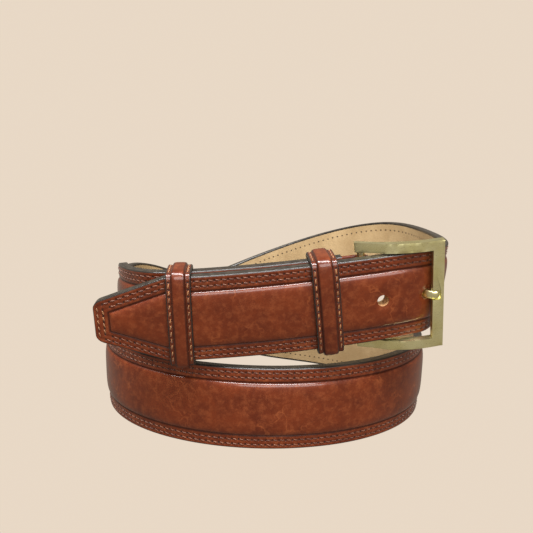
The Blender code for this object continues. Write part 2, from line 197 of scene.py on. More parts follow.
class Path:
    """The strap's middle line by distance from its start, smooth where the CAD has short steps."""

    def __init__(self):
        self.points = spline(strap_knots())
        step = np.linalg.norm(np.diff(self.points, axis=0), axis=1)
        self.dist = np.concatenate([[0.0], np.cumsum(step)])
        self.length = float(self.dist[-1])

    def place(self, s):
        return np.array([np.interp(s, self.dist, self.points[:, i]) for i in range(3)])

    def at(self, s):
        """Point, travel, width and outward directions at distance s."""
        travel = self.place(min(s + 1.0, self.length)) - self.place(max(s - 1.0, 0.0))
        past = s - 75.0 if s < self.length / 2 else self.length - 130.0 - s
        return self.place(s), *directions(travel, LEAN * (1.0 - ease(past / 60.0)))

    def point(self, s, a, v):
        p, _, w, n = self.at(s)
        return p + a * w + v * n

    def nearest(self, point, after=0.0):
        s = np.linspace(after, self.length, 2000)
        return float(s[np.argmin([np.linalg.norm(self.place(v) - point) for v in s])])


PATH = Path()
LENGTH = PATH.length
HOLE_S = PATH.nearest(np.array([61.3, -46.4, 66.0]), LENGTH / 2)
HOLES = [HOLE_S + (i - USED_HOLE) * HOLE_PITCH for i in range(HOLE_COUNT)]


def half_width(s):
    """Half the strap's width, narrowing in straight lines to a blunt tip with round corners."""
    left = LENGTH - s
    if left >= TIP_LENGTH:
        return HALF
    half = TIP_END / 2 + (HALF - TIP_END / 2) * left / TIP_LENGTH
    if left < TIP_CORNER:
        half -= TIP_CORNER - math.sqrt(max(TIP_CORNER**2 - (TIP_CORNER - left)**2, 0.0))
    return half


# ------------------------------------------------------------ meshes


def add_object(name, verts, faces, materials, face_slots=None, uv=None, smooth=35):
    """A mesh object from points in mm; uv holds one (along, inset) pair per point, in mm."""
    mesh = bpy.data.meshes.new(name)
    verts = (np.asarray(verts, float) + SHIFT) * MM
    mesh.from_pydata([tuple(v) for v in verts], [], faces)
    for m in materials:
        mesh.materials.append(m)
    if face_slots is not None:
        mesh.polygons.foreach_set("material_index", np.asarray(face_slots, np.int32))
    if uv is not None:
        layer = mesh.uv_layers.new(name="leather")
        loops = np.zeros(len(mesh.loops), np.int32)
        mesh.loops.foreach_get("vertex_index", loops)
        layer.data.foreach_set("uv", (np.asarray(uv, np.float32)[loops] * MM).ravel())
    mesh.update()
    mesh.shade_smooth()
    mesh.set_sharp_from_angle(angle=math.radians(smooth))
    obj = bpy.data.objects.new(name, mesh)
    bpy.context.scene.collection.objects.link(obj)
    return obj


def loft(rings, closed=False):
    """Quads between equal rings of points, capped at the ends unless the rings close up."""
    count, size = len(rings), len(rings[0])
    verts = [p for ring in rings for p in ring]
    faces = []
    for i in range(count if closed else count - 1):
        k = (i + 1) % count
        for j in range(size):
            m = (j + 1) % size
            faces.append((i * size + j, i * size + m, k * size + m, k * size + j))
    if not closed:
        faces.append(tuple(range(size))[::-1])
        faces.append(tuple((count - 1) * size + j for j in range(size)))
    return verts, faces


def join(parts):
    verts, faces = [], []
    for v, f in parts:
        base = len(verts)
        verts += list(v)
        faces += [tuple(base + i for i in face) for face in f]
    return verts, faces


def outward(obj):
    """Turns every face outward."""
    bm = bmesh.new()
    bm.from_mesh(obj.data)
    bmesh.ops.recalc_face_normals(bm, faces=bm.faces)
    bm.to_mesh(obj.data)
    bm.free()


def apply_modifiers(obj):
    graph = bpy.context.evaluated_depsgraph_get()
    mesh = bpy.data.meshes.new_from_object(obj.evaluated_get(graph))
    obj.modifiers.clear()
    obj.data = mesh


def show(obj, body, slot, *nodes):
    """The piece rides on a body and stands for those CAD nodes; slot is not used."""
    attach(obj, body)
    if nodes:
        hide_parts(*nodes)
    return obj


# ------------------------------------------------------------ materials


class Shader:
    """A Principled material and short calls for the nodes that feed it."""

    def __init__(self, name, **sockets):
        self.material = bpy.data.materials.new(name)
        self.material.use_nodes = True
        self.tree = self.material.node_tree
        self.principled = self.tree.nodes["Principled BSDF"]
        self.set(**sockets)

    def set(self, **sockets):
        names = {"color": "Base Color", "rough": "Roughness", "metal": "Metallic",
                 "coat": "Coat Weight", "coat_rough": "Coat Roughness", "sheen": "Sheen Weight",
                 "sheen_rough": "Sheen Roughness", "specular": "Specular IOR Level",
                 "sheen_tint": "Sheen Tint", "coat_ior": "Coat IOR"}
        for key, value in sockets.items():
            if key in ("color", "sheen_tint"):
                value = (*value, 1.0)
            self.principled.inputs[names[key]].default_value = value

    def link(self, out, into):
        self.tree.links.new(out, into)
        return out

    def feed(self, node, **inputs):
        for key, value in inputs.items():
            into = node.inputs[int(key[1:])] if key[0] == "i" and key[1:].isdigit() else node.inputs[key]
            if hasattr(value, "node"):
                self.link(value, into)
            else:
                into.default_value = value
        return node

    def coords(self, kind="Object", scale=(1.0, 1.0, 1.0)):
        """Metres times scale, from the object's own space or from the leather's flat layout."""
        if kind == "leather":
            node = self.tree.nodes.new("ShaderNodeUVMap")
            node.uv_map = "leather"
            out = node.outputs[0]
        else:
            out = self.tree.nodes.new("ShaderNodeTexCoord").outputs[kind]
        mapping = self.tree.nodes.new("ShaderNodeMapping")
        mapping.inputs["Scale"].default_value = scale
        self.link(out, mapping.inputs["Vector"])
        return mapping.outputs[0]

    def noise(self, vector, scale, detail=3.0, rough=0.5, distortion=0.0):
        node = self.tree.nodes.new("ShaderNodeTexNoise")
        self.feed(node, Vector=vector, Scale=scale, Detail=detail, Roughness=rough,
                  Distortion=distortion)
        return node.outputs["Fac"]

    def cells(self, vector, scale, feature="DISTANCE_TO_EDGE"):
        node = self.tree.nodes.new("ShaderNodeTexVoronoi")
        node.feature = feature
        self.feed(node, Vector=vector, Scale=scale)
        return node.outputs["Distance"]

    def math(self, op, a, b=0.0, c=0.0):
        node = self.tree.nodes.new("ShaderNodeMath")
        node.operation = op
        self.feed(node, i0=a, i1=b, i2=c)
        return node.outputs[0]

    def fade(self, value, low, high, to_low=0.0, to_high=1.0):
        """Smoothly from to_low where value is low to to_high where it is high."""
        node = self.tree.nodes.new("ShaderNodeMapRange")
        node.interpolation_type = "SMOOTHSTEP"
        self.feed(node, i0=value, i1=low, i2=high, i3=to_low, i4=to_high)
        return node.outputs[0]

    def mix(self, share, a, b):
        node = self.tree.nodes.new("ShaderNodeMix")
        node.data_type = "RGBA"
        node.clamp_factor = True
        for value, into in ((share, node.inputs[0]), (a, node.inputs[6]), (b, node.inputs[7])):
            if hasattr(value, "node"):
                self.link(value, into)
            else:
                into.default_value = value if isinstance(value, float) else (*value, 1.0)
        return node.outputs[2]

    def split(self, vector):
        node = self.tree.nodes.new("ShaderNodeSeparateXYZ")
        self.link(vector, node.inputs[0])
        return node.outputs[0], node.outputs[1]

    def bump(self, height, strength, distance, after=None):
        node = self.tree.nodes.new("ShaderNodeBump")
        self.feed(node, Height=height, Strength=strength, Distance=distance)
        if after is not None:
            self.link(after, node.inputs["Normal"])
        return node.outputs[0]

    def finish(self, color=None, rough=None, normal=None):
        if color is not None:
            self.link(color, self.principled.inputs["Base Color"])
        if rough is not None:
            self.link(rough, self.principled.inputs["Roughness"])
        if normal is not None:
            self.link(normal, self.principled.inputs["Normal"])
        return self.material


CALF_DARK = (0.050, 0.0062, 0.0018)
CALF = (0.126, 0.0215, 0.0045)
CALF_LIGHT = (0.25, 0.064, 0.018)
PAINT = (0.013, 0.011, 0.009)


def calf_leather(name, margin, rows, pitch, tone=1.0):
    """Polished, mottled calf, with painted shade in the crease beside the crown, along each stitch row
    and in its needle holes.
    """
    sh = Shader(name, coat=0.5, coat_rough=0.11, specular=0.2, sheen=0.02, sheen_rough=0.45)
    sh.set(sheen_tint=(0.80, 0.84, 0.72))
    space = sh.coords()
    cloud = sh.noise(space, 105.0, 5.0, 0.62, 0.4)
    speck = sh.noise(space, 420.0, 4.0, 0.66)
    base = sh.mix(sh.fade(cloud, 0.2, 0.7, 0.3, 1.0), tuple(c * tone for c in CALF_DARK),
                  tuple(c * tone for c in CALF))
    base = sh.mix(sh.fade(speck, 0.42, 0.74, 0.0, 0.38), base, tuple(c * tone for c in CALF_LIGHT))
    pore = sh.noise(space, 1500.0, 2.0, 0.6)
    base = sh.mix(sh.fade(pore, 0.28, 0.44, 0.35, 0.0), base, CALF_DARK)

    # hairline creases, in patches
    bent = sh.tree.nodes.new("ShaderNodeVectorMath")
    bent.operation = "MULTIPLY_ADD"
    warp = sh.tree.nodes.new("ShaderNodeTexNoise")
    sh.feed(warp, Vector=space, Scale=160.0, Detail=3.0)
    sh.link(warp.outputs["Color"], bent.inputs[0])
    bent.inputs[1].default_value = (0.012, 0.012, 0.012)
    sh.link(space, bent.inputs[2])
    crack = sh.fade(sh.cells(bent.outputs[0], 95.0), 0.0, 0.045, 1.0, 0.0)
    patch = sh.fade(sh.noise(space, 70.0, 2.0), 0.50, 0.66)
    crack = sh.math("MULTIPLY", crack, patch)
    base = sh.mix(sh.math("MULTIPLY", crack, 0.5), base, CALF_LIGHT)

    along, inset = sh.split(sh.coords("leather", (1000.0, 1000.0, 1.0)))
    # painted shade: the crease where the crown meets the margin is darkened in the colour, as shade falls
    # into it
    from_crease = sh.math("ABSOLUTE", sh.math("SUBTRACT", inset, margin - 0.25))
    crease = sh.fade(from_crease, 0.15, 0.75, 0.8, 0.0)
    base = sh.mix(crease, base, tuple(c * 0.45 for c in CALF_DARK))
    turn = sh.math("FRACT", sh.math("DIVIDE", along, pitch))
    beat = sh.math("ABSOLUTE", sh.math("SUBTRACT", turn, 0.5))
    holes = sh.fade(beat, 0.36, 0.46)
    near = None
    for row in rows:
        close = sh.fade(sh.math("ABSOLUTE", sh.math("SUBTRACT", inset, row)), 0.25, 0.62, 1.0, 0.0)
        near = close if near is None else sh.math("MAXIMUM", near, close)
    hole_shade_and_dent = sh.math("MULTIPLY", holes, near)
    # painted shade: a darker band along each stitch row's groove
    base = sh.mix(sh.math("MULTIPLY", near, 0.35), base, CALF_DARK)
    # painted shade: the needle holes between stitches are coloured nearly black, as shade in each hole;
    # the same mask also dents them in the bump
    base = sh.mix(sh.math("MULTIPLY", hole_shade_and_dent, 0.85), base, PAINT)
    painted = sh.fade(inset, 0.25, 0.75, 1.0, 0.0)
    base = sh.mix(painted, base, PAINT)

    grain = sh.cells(space, 1900.0, "F1")
    rough = sh.fade(speck, 0.2, 0.8, 0.30, 0.46)
    normal = sh.bump(grain, 0.10, 0.00012)
    normal = sh.bump(sh.math("ADD", speck, sh.math("MULTIPLY", crack, -0.6)), 0.16, 0.00018, normal)
    normal = sh.bump(sh.math("MULTIPLY", hole_shade_and_dent, -1.0), 0.6, 0.0003, normal)
    return sh.finish(base, rough, normal)


def lining_leather():
    """Smooth tan lining leather with a soft nap and faint fibre marks."""
    sh = Shader("tan_lining", rough=0.62, coat=0.05, coat_rough=0.4, specular=0.35)
    space = sh.coords()
    cloud = sh.noise(space, 60.0, 4.0, 0.6)
    fibre = sh.noise(sh.coords("Object", (1.0, 1.0, 2.5)), 900.0, 3.0, 0.6)
    base = sh.mix(sh.fade(cloud, 0.3, 0.7), (0.30, 0.20, 0.095), (0.40, 0.28, 0.145))
    base = sh.mix(sh.fade(fibre, 0.45, 0.75, 0.0, 0.4), base, (0.22, 0.14, 0.06))
    along, inset = sh.split(sh.coords("leather", (1000.0, 1000.0, 1.0)))
    turn = sh.math("FRACT", sh.math("DIVIDE", along, STITCH_PITCH))
    beat = sh.math("ABSOLUTE", sh.math("SUBTRACT", turn, 0.5))
    row = sh.fade(sh.math("ABSOLUTE", sh.math("SUBTRACT", inset, ROWS["inner"])), 0.2, 0.5, 1.0, 0.0)
    # painted shade: dark dots at the needle holes of the inner row, as shade in each hole
    base = sh.mix(sh.math("MULTIPLY", sh.fade(beat, 0.30, 0.42), row), base, (0.05, 0.03, 0.015))
    base = sh.mix(sh.fade(inset, 0.2, 0.7, 1.0, 0.0), base, PAINT)
    return sh.finish(base, sh.fade(fibre, 0.2, 0.8, 0.5, 0.72), sh.bump(fibre, 0.25, 0.0002))


def edge_paint():
    """Dark paint on the cut edges, slightly uneven and glossy."""
    sh = Shader("edge_paint", coat=0.3, coat_rough=0.25)
    wave = sh.noise(sh.coords(), 500.0, 3.0, 0.55)
    base = sh.mix(sh.fade(wave, 0.35, 0.7), PAINT, (0.035, 0.027, 0.018))
    return sh.finish(base, sh.fade(wave, 0.3, 0.7, 0.34, 0.5), sh.bump(wave, 0.3, 0.0003))


def cut_leather():
    """The raw wall of a punched hole."""
    sh = Shader("cut_leather", rough=0.75)
    wave = sh.noise(sh.coords(), 1800.0, 3.0, 0.6)
    base = sh.mix(sh.fade(wave, 0.3, 0.7), (0.30, 0.13, 0.05), (0.62, 0.36, 0.16))
    return sh.finish(base, None, sh.bump(wave, 0.4, 0.0003))


def thread(name, dark, light):
    """Waxed two-ply thread."""
    sh = Shader(name, rough=0.5, sheen=0.3, sheen_rough=0.4)
    ply = sh.tree.nodes.new("ShaderNodeTexWave")
    ply.bands_direction = "DIAGONAL"
    sh.feed(ply, Vector=sh.coords(), Scale=1500.0, Distortion=2.0, Detail=1.0)
    shade = sh.noise(sh.coords(), 300.0, 2.0)
    base = sh.mix(sh.fade(shade, 0.35, 0.65), dark, light)
    base = sh.mix(sh.math("MULTIPLY", ply.outputs["Fac"], 0.3), base, tuple(c * 0.5 for c in dark))
    return sh.finish(base, None, sh.bump(ply.outputs["Fac"], 0.4, 0.0001))


def old_brass():
    """Satin old-gold brass, brushed along the buckle, a little greenish."""
    sh = Shader("antique_brass", metal=1.0)
    space = sh.coords()
    brush = sh.noise(sh.coords("Object", (0.6, 6.0, 6.0)), 700.0, 3.0, 0.6)
    cloud = sh.noise(space, 120.0, 3.0, 0.6)
    base = sh.mix(sh.fade(cloud, 0.3, 0.7), (0.88, 0.82, 0.40), (1.0, 0.96, 0.56))
    base = sh.mix(sh.fade(brush, 0.45, 0.7, 0.0, 0.25), base, (0.36, 0.29, 0.09))
    rough = sh.fade(brush, 0.25, 0.75, 0.26, 0.40)
    return sh.finish(base, rough, sh.bump(brush, 0.08, 0.0001))


ROW_INSETS = list(ROWS.values())
CALF_STRAP = calf_leather("cognac_calf", MARGIN, ROW_INSETS, STITCH_PITCH)
CALF_KEEPER = calf_leather("keeper_calf", 2.5, [KEEPER_ROW], STITCH_PITCH, 0.9)
CALF_CHAPE = calf_leather("chape_calf", -5.0, [2.2], STITCH_PITCH, 0.8)
LINING = lining_leather()
EDGE = edge_paint()
CORE_EDGE = edge_paint()        # a second copy, because a Boolean joins equal slots
CUT = cut_leather()
BROWN_THREAD = thread("brown_thread", (0.075, 0.019, 0.006), (0.165, 0.052, 0.017))
GOLD_THREAD = thread("golden_thread", (0.20, 0.075, 0.022), (0.38, 0.165, 0.052))
BRASS = old_brass()


# ------------------------------------------------------------ strap


def edge_inset(s, a):
    """Distance from the strap's nearest edge, the tip's end included."""
    return min(half_width(s) - abs(a), LENGTH - s)


def surface_height(s, a):
    """The cover's outer face above the middle of the strap."""
    inset = edge_inset(s, a)
    room = HALF - MARGIN
    inside = inset - MARGIN
    height = COVER_OUT
    if inside > 0:
        height += CROWN * math.sqrt(1.0 - (1.0 - min(inside / room, 1.0))**4)
    height -= 0.22 * math.exp(-((inset - MARGIN + 0.1) / 0.45)**2)
    for row in ROW_INSETS:
        height -= 0.12 * math.exp(-((inset - row) / 0.5)**2)
    for hole in HOLES:
        r = math.hypot(s - hole, a)
        if r < 8.0:
            height -= 0.35 * math.exp(-((r - HOLE_D / 2) / 1.1)**2)
    return height


def strap_rings():
    """Distances of the rings, closer together beside each hole and at the two ends."""
    s = list(np.arange(0.0, LENGTH, STEP))
    for hole in HOLES:
        s = [v for v in s if abs(v - hole) > 5.0]
        s += list(np.arange(hole - 5.0, hole + 5.01, FINE_STEP))
    s = [v for v in s if v < LENGTH - 8.0]
    s += list(np.linspace(LENGTH - 8.0, LENGTH - 0.6, 16)) + [LENGTH - 0.35, LENGTH - 0.15, LENGTH - 0.03]
    return sorted(s)


ACROSS = [0.0, 0.8, 1.6, 2.4, 3.2, 4.2, 5.5, 7.0, 8.5, 9.6, 10.4, 10.85, 11.1, 11.25, 11.32]
INSETS = [6.0, 5.75, 5.5, 5.0, 4.7, 4.4, 4.1, 3.6, 3.1, 2.6, 2.2, 1.9, 1.6, 1.2, 0.9, 0.6, 0.35, 0.15]
EDGE_R = 0.65


def across_points(s):
    """Positions from the middle to one edge of the strap at s."""
    half = half_width(s)
    room = max(half - MARGIN, 0.12)
    scale = min(1.0, half / (MARGIN + 1.0))
    inner = [a / ACROSS[-1] * room for a in ACROSS]
    outer = [half - d * scale for d in INSETS]
    return inner + [max(v, inner[-1]) for v in outer] + [half - 0.02]


def end_round(s, reach=0.7):
    """How much of the thickness is left, near the tip's rounded end."""
    left = (LENGTH - s) / reach
    return math.sqrt(max(1.0 - (1.0 - min(left, 1.0))**2, 0.0))


UNDER_PAINT = 0.5        # how far edge paint runs in under the strip, from its edge


def strip(name, top, bottom, materials, step_insets=True):
    """A closed strip along the whole strap; top and bottom give the height at (s, a)."""
    rings, uv, slots = [], [], []
    distances = strap_rings()
    for s in distances:
        right = across_points(s) if step_insets else [half_width(s) * f for f in
                                                       (0.0, 0.3, 0.6, 0.85, 0.94, 0.98, 1.0)]
        line = [-a for a in reversed(right)] + right[1:]
        keep = end_round(s)
        ring, flat = [], []
        for height, order in ((top, line), (bottom, line[::-1])):
            for a in order:
                v = height(s, a) * keep
                ring.append(PATH.point(s, a, v))
                flat.append((s, edge_inset(s, a)))
        rings.append(ring)
        uv += flat
    verts, faces = loft(rings)
    size = len(rings[0])
    for face in faces[:-2]:
        first = face[0] % size
        over = first < size // 2 - 1
        inset = min(uv[i][1] for i in face)
        slots.append(1 if not over and inset < UNDER_PAINT else 0)
    slots += [1, 1]
    obj = add_object(name, verts, faces, materials, slots, uv, 40)
    outward(obj)
    return obj


def rounded_edge(s, a, face, r):
    """A height pulled in along the strap's edge by a quarter circle of radius r."""
    inset = max(half_width(s) - abs(a), 0.0)
    if inset >= r:
        return face
    drop = r - math.sqrt(r * r - (r - inset)**2)
    return face - math.copysign(drop, face)


def hole_cutter():
    parts = []
    for hole in HOLES:
        p, t, w, n = PATH.at(hole)
        rings = [[p + v * n + HOLE_D / 2 * (math.cos(q) * t + math.sin(q) * w)
                  for q in np.linspace(0, 2 * math.pi, 32, endpoint=False)] for v in (-6.0, 8.0)]
        parts.append(loft(rings))
    cutter = add_object("hole_cutter", *join(parts), [CUT])
    outward(cutter)
    return cutter


def build_strap():
    cover = strip("strap_cover_skin",
                  lambda s, a: rounded_edge(s, a, surface_height(s, a), EDGE_R),
                  lambda s, a: COVER_IN - 0.02, [CALF_STRAP, EDGE])
    core = strip("strap_edge_core", lambda s, a: COVER_IN - 0.05, lambda s, a: CORE_IN + 0.05,
                 [EDGE, CORE_EDGE], False)
    lining = strip("strap_lining_skin", lambda s, a: CORE_IN + 0.02,
                   lambda s, a: rounded_edge(s, a, LINING_IN, 0.4), [LINING, EDGE], False)
    cutter = hole_cutter()
    for obj in (cover, core, lining):
        cut = obj.modifiers.new("holes", "BOOLEAN")
        cut.operation, cut.solver, cut.object = "DIFFERENCE", "EXACT", cutter
        cut.material_mode = "TRANSFER"
        apply_modifiers(obj)
        obj.data.set_sharp_from_angle(angle=math.radians(40))
    bpy.data.objects.remove(cutter)
    show(cover, "strap", "cognac_calf", "strap_cover", "strap_padding")
    show(core, "strap", "split_core", "strap_core")
    show(lining, "strap", "tan_lining", "strap_lining")


def stitch(points, up, side, lean, r=STITCH_R):
    """One stitch from points[0] to points[1]: a round thread that dives in at both ends."""
    a, b = points
    rings = []
    for f, lift, size in ((0.0, -0.22, 0.35), (0.14, 0.06, 0.9), (0.35, 0.16, 1.0),
                          (0.65, 0.16, 1.0), (0.86, 0.06, 0.9), (1.0, -0.22, 0.35)):
        c = a + (b - a) * f + up * lift + side * lean * (f - 0.5)
        rings.append([c + r * size * (math.cos(q) * side + math.sin(q) * up)
                      for q in np.linspace(0, 2 * math.pi, 7, endpoint=False)])
    return loft(rings)


def strap_stitch(s0, a0, s1, a1, sign):
    """One stitch on the strap's cover, between two places given along and across the strap."""
    ends = [PATH.point(s0, a0, surface_height(s0, a0)), PATH.point(s1, a1, surface_height(s1, a1))]
    n = PATH.at((s0 + s1) / 2)[3]
    d = (ends[1] - ends[0]) / np.linalg.norm(ends[1] - ends[0])
    side = np.cross(n, d)
    lean = sign * 0.42 + RANDOM.normal(0, 0.05)
    return stitch(ends, n, side, lean, STITCH_R * RANDOM.uniform(0.92, 1.06))


def build_stitches():
    gap = STITCH_PITCH - STITCH_LENGTH
    for edge, sign in (("upper", 1), ("lower", -1)):
        for row, inset in ROWS.items():
            parts = []
            first = math.ceil(2.0 / STITCH_PITCH)
            last = int((LENGTH - inset - 0.3) / STITCH_PITCH)
            for i in range(first, last):
                s0 = i * STITCH_PITCH + gap / 2
                s1 = s0 + STITCH_LENGTH
                a0, a1 = sign * (half_width(s0) - inset), sign * (half_width(s1) - inset)
                parts.append(strap_stitch(s0, a0, s1, a1, -1))
            obj = add_object(f"stitches_{edge}_{row}", *join(parts), [BROWN_THREAD])
            outward(obj)
            show(obj, "strap", "brown_thread", f"edge_thread_{edge}_{row}")
    parts = []
    for inset in ROWS.values():
        s = LENGTH - inset
        reach = half_width(s) - inset
        count = max(int(round(2 * reach / STITCH_PITCH)), 1)
        step = 2 * reach / count
        for i in range(count):
            a0 = -reach + i * step + gap / 2
            parts.append(strap_stitch(s, a0, s, a0 + step - gap, 1))
    tip = add_object("stitches_tip", *join(parts), [GOLD_THREAD])
    outward(tip)
    show(tip, "strap", "golden_thread", "tip_thread")


# ------------------------------------------------------------ buckle


class BuckleFrame:
    """Local directions of the buckle: along (bar to end bar), across, and outward."""

    def __init__(self):
        self.bar = inner_run(BAR_X)
        along = np.array([*END_BAR_AT, 0.0]) - self.bar
        along[2] = BUCKLE_RISE * np.linalg.norm(along[:2])
        travel, self.across, self.out = directions(-along)
        self.along = -travel

    def point(self, d, a, v):
        return self.bar + d * self.along + a * self.across + v * self.out


BUCKLE = BuckleFrame()


def frame_height(d):
    """Middle of the buckle frame's side profile above the bar-to-end line."""
    if d < 8.5:
        return 0.2 + 3.9 * (d + 2.4) / 10.9
    f = (d - 8.5) / (FRAME_REACH - 8.5)
    return 4.1 + 1.5 * math.sin(math.pi * min(f * 1.05, 1.0)) - 1.4 * f


def plate(columns, cells):
    """Closed slab from grid columns: columns[i][j] is (inner, outer); cells says what is solid."""
    verts, faces, index = [], [], {}

    def vert(i, j, side):
        if (i, j, side) not in index:
            index[i, j, side] = len(verts)
            verts.append(columns[i][j][side])
        return index[i, j, side]

    for i, j in sorted(cells):
        ring = [(i, j), (i + 1, j), (i + 1, j + 1), (i, j + 1)]
        faces.append([vert(*c, 1) for c in ring])
        faces.append([vert(*c, 0) for c in reversed(ring)])
        beside = [(i, j - 1), (i + 1, j), (i, j + 1), (i - 1, j)]
        for k, other in enumerate(beside):
            if other not in cells:
                a, b = ring[k], ring[(k + 1) % 4]
                faces.append([vert(*a, 0), vert(*b, 0), vert(*b, 1), vert(*a, 1)])
    return verts, faces


def bevel(obj, width, segments=3, angle=50):
    mod = obj.modifiers.new("bevel", "BEVEL")
    mod.width, mod.segments = width * MM, segments
    mod.limit_method, mod.angle_limit = "ANGLE", math.radians(angle)
    mod.harden_normals = False
    apply_modifiers(obj)
    obj.data.shade_smooth()
    obj.data.set_sharp_from_angle(angle=math.radians(35))


def build_buckle():
    inner = FRAME_REACH - END_BAR
    along = sorted({-2.4, -1.8, 0.0, 2.8, 5.6, 8.2, 8.5, 8.8, inner, inner + 1.1, inner + 3.3,
                    FRAME_REACH, *np.linspace(9.6, inner - 0.9, 16)})
    across = [-FRAME_W / 2, -FRAME_W / 2 + 1.25, -FRAME_W / 2 + 2.5, -FRAME_IN / 2,
              -9.0, 0.0, 9.0,
              FRAME_IN / 2, FRAME_W / 2 - 2.5, FRAME_W / 2 - 1.25, FRAME_W / 2]
    columns = []
    for d in along:
        thick = FRAME_T * (0.8 + 0.2 * ease((d - 7.5) / 2.0))
        v = frame_height(d)
        columns.append([(BUCKLE.point(d, a, v - thick / 2), BUCKLE.point(d, a, v + thick / 2))
                        for a in across])
    cells = {(i, j) for i in range(len(along) - 1) for j in range(len(across) - 1)
             if not 3 <= j <= 6 or along[i] >= inner - 0.01}
    frame_piece = add_object("buckle_frame_body", *plate(columns, cells), [BRASS])
    outward(frame_piece)
    top = frame_height(FRAME_REACH) + FRAME_T / 2
    half = PRONG_W / 2 + 0.25
    rings = [[BUCKLE.point(d, a, v) for a, v in
              ((-half, top - 1.3), (half, top - 1.3), (half, top + 3), (-half, top + 3))]
             for d in (inner - 1.0, FRAME_REACH - 1.1)]
    notch = add_object("notch_cutter", *loft(rings), [BRASS])
    outward(notch)
    cut = frame_piece.modifiers.new("notch", "BOOLEAN")
    cut.operation, cut.solver, cut.object = "DIFFERENCE", "EXACT", notch
    apply_modifiers(frame_piece)
    bpy.data.objects.remove(notch)
    bevel(frame_piece, 0.38)
    show(frame_piece, "buckle", "antique_brass", "buckle_frame")
    build_prong()
    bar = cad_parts["buckle_bar"]
    bar.data.materials.clear()
    bar.data.materials.append(BRASS)


def build_prong():
    """Prong: an eye round the bar, under the strap, up through the hole and onto the end bar."""
    loop = BAR_R + 0.25 + PRONG_T / 2
    line = [(loop * math.cos(math.radians(q)), loop * math.sin(math.radians(q)))
            for q in range(20, 300, 30)]
    line += [(1.6, -loop + 0.05), (5.0, -2.4), (11.0, -2.3), (16.0, -2.6), (19.2, -3.3)]
    line += [(21.3, -3.6), (22.4, -2.6), (23.3, -0.7), (24.2, 1.0), (25.0, 2.6)]
    line += [(26.2, 3.8), (27.5, 4.25), (29.4, 4.2)]
    line = spline(np.array(line), 5)
    rings = []
    ends = np.cumsum(np.concatenate([[0.0], np.linalg.norm(np.diff(line, axis=0), axis=1)]))
    for i, (d, v) in enumerate(line):
        t = line[min(i + 1, len(line) - 1)] - line[max(i - 1, 0)]
        t = t / np.linalg.norm(t)
        m = np.array([-t[1], t[0]])
        left = (ends[-1] - ends[i]) / 1.2
        size = math.sqrt(max(1.0 - (1.0 - min(left, 1.0))**2, 0.02))
        thick, wide = PRONG_T / 2 * size, PRONG_W / 2 * (0.55 + 0.45 * size)
        ring = []
        for q in np.linspace(0, 2 * math.pi, 20, endpoint=False):
            c, e = math.cos(q), math.sin(q)
            a = wide * math.copysign(abs(c)**0.6, c)
            h = thick * math.copysign(abs(e)**0.75, e)
            ring.append(BUCKLE.point(d + m[0] * h, a, v + m[1] * h))
        rings.append(ring)
    prong = add_object("prong_body", *loft(rings), [BRASS])
    outward(prong)
    show(prong, "prong", "antique_brass", "prong")


CHAPE_SLOT_END = 20                        # steps along the chape that the prong's slot takes


def build_chape():
    """The strap's turned-back buckle end, looped round the bar and sewn down behind."""
    turn = BAR_R + 0.25 + CHAPE_T / 2
    line = [(BUCKLE.point(d, 0, turn), BUCKLE.out, BUCKLE.across) for d in (-5.4, -4.2, -3.0, -1.5)]
    for q in range(90, -91, -12):
        r = math.radians(q)
        out = math.cos(r) * BUCKLE.along + math.sin(r) * BUCKLE.out
        line.append((BUCKLE.bar + turn * out, out, BUCKLE.across))
    for x in (32.5, CHAPE_SEAMS[0], 27.0, FIXED_X, 20.0, 16.5, CHAPE_SEAMS[1], 9.5, 6.0, 2.5, -1.0):
        p = inner_run(x)
        _, _, w, n = front_frame(x)
        line.append((p + (LINING_IN - 0.35 - CHAPE_T / 2) * n, -n, w))
    across = [-CHAPE_W / 2, -12.0, -7.0, -2.8, 2.8, 7.0, 12.0, CHAPE_W / 2]
    columns = []
    for p, out, w in line:
        columns.append([(p + a * w - CHAPE_T / 2 * out, p + a * w + CHAPE_T / 2 * out)
                        for a in across])
    cells = {(i, j) for i in range(len(line) - 1) for j in range(len(across) - 1)
             if j != 3 or i > CHAPE_SLOT_END}
    verts, faces = plate(columns, cells)
    uv = []
    middle = PATH.place(0.0)
    for v in verts:
        side = abs(np.dot(np.asarray(v) - middle, BUCKLE.across))
        uv.append((v[0], CHAPE_W / 2 - min(side, CHAPE_W / 2) + 0.8))
    chape = add_object("chape_leather", verts, faces, [CALF_CHAPE], None, uv)
    outward(chape)
    bevel(chape, 0.35, 2, 60)
    show(chape, "strap", "cognac_calf", "buckle_chape")
    for place, x in zip(("bar", "middle"), CHAPE_SEAMS):
        p = inner_run(x)
        _, t, w, n = front_frame(x)
        base = p + (LINING_IN - 0.35 - CHAPE_T) * n
        count = 10
        parts = []
        for i in range(count):
            a0 = -14.5 + 29.0 * i / count + 0.3
            a1 = a0 + 29.0 / count - 0.6
            parts.append(stitch([base + a0 * w, base + a1 * w], -n, t, 0.3))
        seam = add_object(f"chape_stitches_{place}", *join(parts), [BROWN_THREAD])
        outward(seam)
        show(seam, "strap", "brown_thread", f"chape_thread_{place}")


# ------------------------------------------------------------ keepers


def keeper_line(inside, corner=1.5):
    """Inner line of a keeper as (across, outward) points, following the crown in front."""
    h = HALF + KEEPER_CLEAR
    front, back = COVER_OUT + 1.05, inside - 0.8
    crest = COVER_OUT + CROWN + 0.4
    side = [(h * 0.30, crest + 0.2), (h * 0.62, crest), (h - corner, front),
            (h - corner * 0.3, front - corner * 0.3), (h, front - corner), (h, back + corner),
            (h - corner * 0.3, back + corner * 0.3), (h - corner, back), (0.0, back)]
    mirror = [(-a, v) for a, v in reversed(side[:-1])]
    return np.array(side + mirror)


def soften(line, times=3):
    """Cuts the corners of a closed line, over and over."""
    for _ in range(times):
        after = np.roll(line, -1, axis=0)
        line = np.stack([0.75 * line + 0.25 * after, 0.25 * line + 0.75 * after], 1).reshape(-1, 2)
    return line


